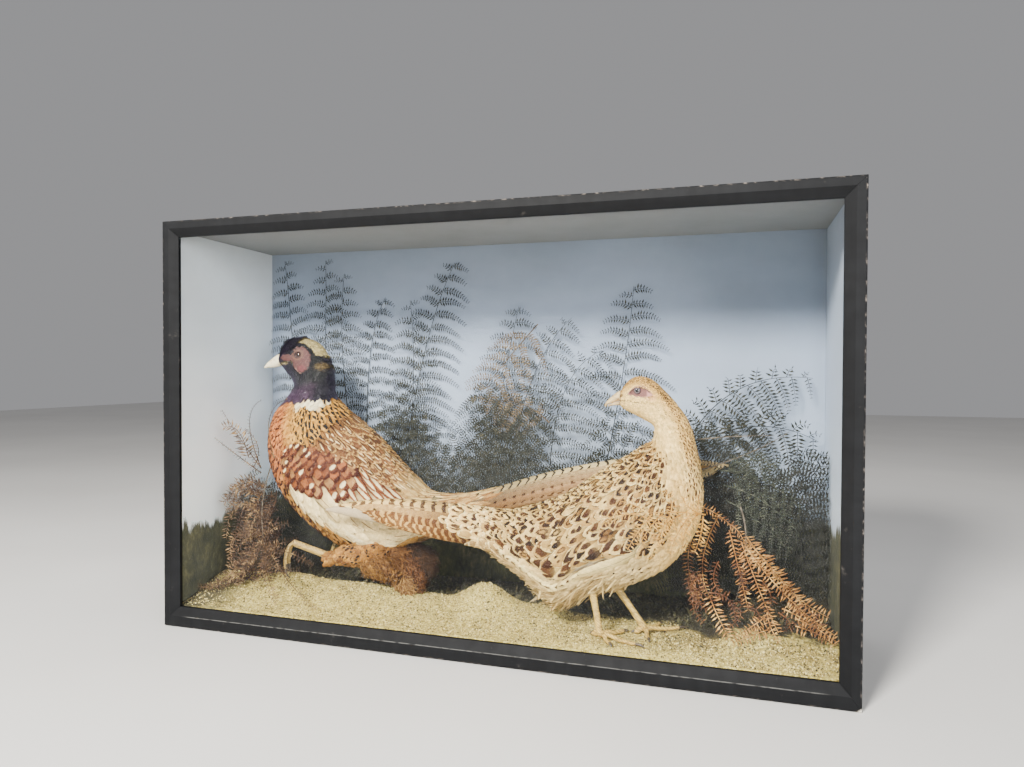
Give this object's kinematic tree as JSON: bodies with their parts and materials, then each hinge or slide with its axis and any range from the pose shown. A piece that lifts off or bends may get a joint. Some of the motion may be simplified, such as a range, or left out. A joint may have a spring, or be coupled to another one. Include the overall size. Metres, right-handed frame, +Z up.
{
  "type": "cased taxidermy pheasants",
  "caption": "Glazed wooden display case holding a mounted hen pheasant and a crouching cock pheasant on sandy groundwork among dried ferns.",
  "frame": {"origin": "middle of the underside of the case", "axes": "+X along the front towards the hen's side, +Z up, the glass faces -Y"},
  "size_m": [0.95, 0.268, 0.6],
  "materials": {
    "black_wood": "ebonised softwood, worn to grey and brown at the edges",
    "painted_board": "back panel painted as pale sky over dark foliage",
    "pane": "old clear sheet glass",
    "sand": "sand and grit glued over a shaped board",
    "hen_plumage": "buff feathers with dark brown centres",
    "cock_plumage": "coppery and chestnut feathers, pale spots, dark neck with a white ring",
    "horn": "pale straw scales and horn",
    "eye_glass": "grey glass eye with a dark pupil",
    "dried_fern": "dried dark olive fern",
    "dried_bracken": "dried russet bracken"
  },
  "bodies": {
    "root": {"case_floor": "black_wood", "case_top": "black_wood", "case_side_left": "black_wood", "case_side_right": "black_wood", "frame_bottom": "black_wood", "frame_right": "black_wood", "frame_top": "black_wood", "frame_left": "black_wood", "case_back": "painted_board", "glass_pane": "pane", "groundwork": "sand", "hen_trunk": "hen_plumage", "hen_neck": "hen_plumage", "hen_head": "hen_plumage", "hen_tail": "hen_plumage", "hen_wing_left": "hen_plumage", "hen_wing_right": "hen_plumage", "hen_bill_upper": "horn", "hen_bill_lower": "horn", "hen_leg_left": "horn", "hen_leg_right": "horn", "hen_eye_left": "eye_glass", "hen_eye_right": "eye_glass", "cock_pheasant": "cock_plumage", "fern_1": "dried_fern", "fern_2": "dried_fern", "fern_3": "dried_fern", "fern_4": "dried_fern", "fern_5": "dried_fern", "fern_6": "dried_fern", "fern_7": "dried_fern", "fern_8": "dried_fern", "fern_9": "dried_fern", "fern_10": "dried_fern", "fern_11": "dried_fern", "fern_12": "dried_fern", "fern_13": "dried_fern", "fern_14": "dried_fern", "bracken_1": "dried_bracken", "bracken_2": "dried_bracken", "bracken_3": "dried_bracken", "bracken_4": "dried_bracken", "bracken_5": "dried_bracken", "bracken_6": "dried_bracken", "bracken_7": "dried_bracken", "bracken_8": "dried_bracken", "bracken_9": "dried_bracken", "bracken_10": "dried_bracken", "bracken_11": "dried_bracken", "bracken_12": "dried_bracken"}
  },
  "joints": []
}
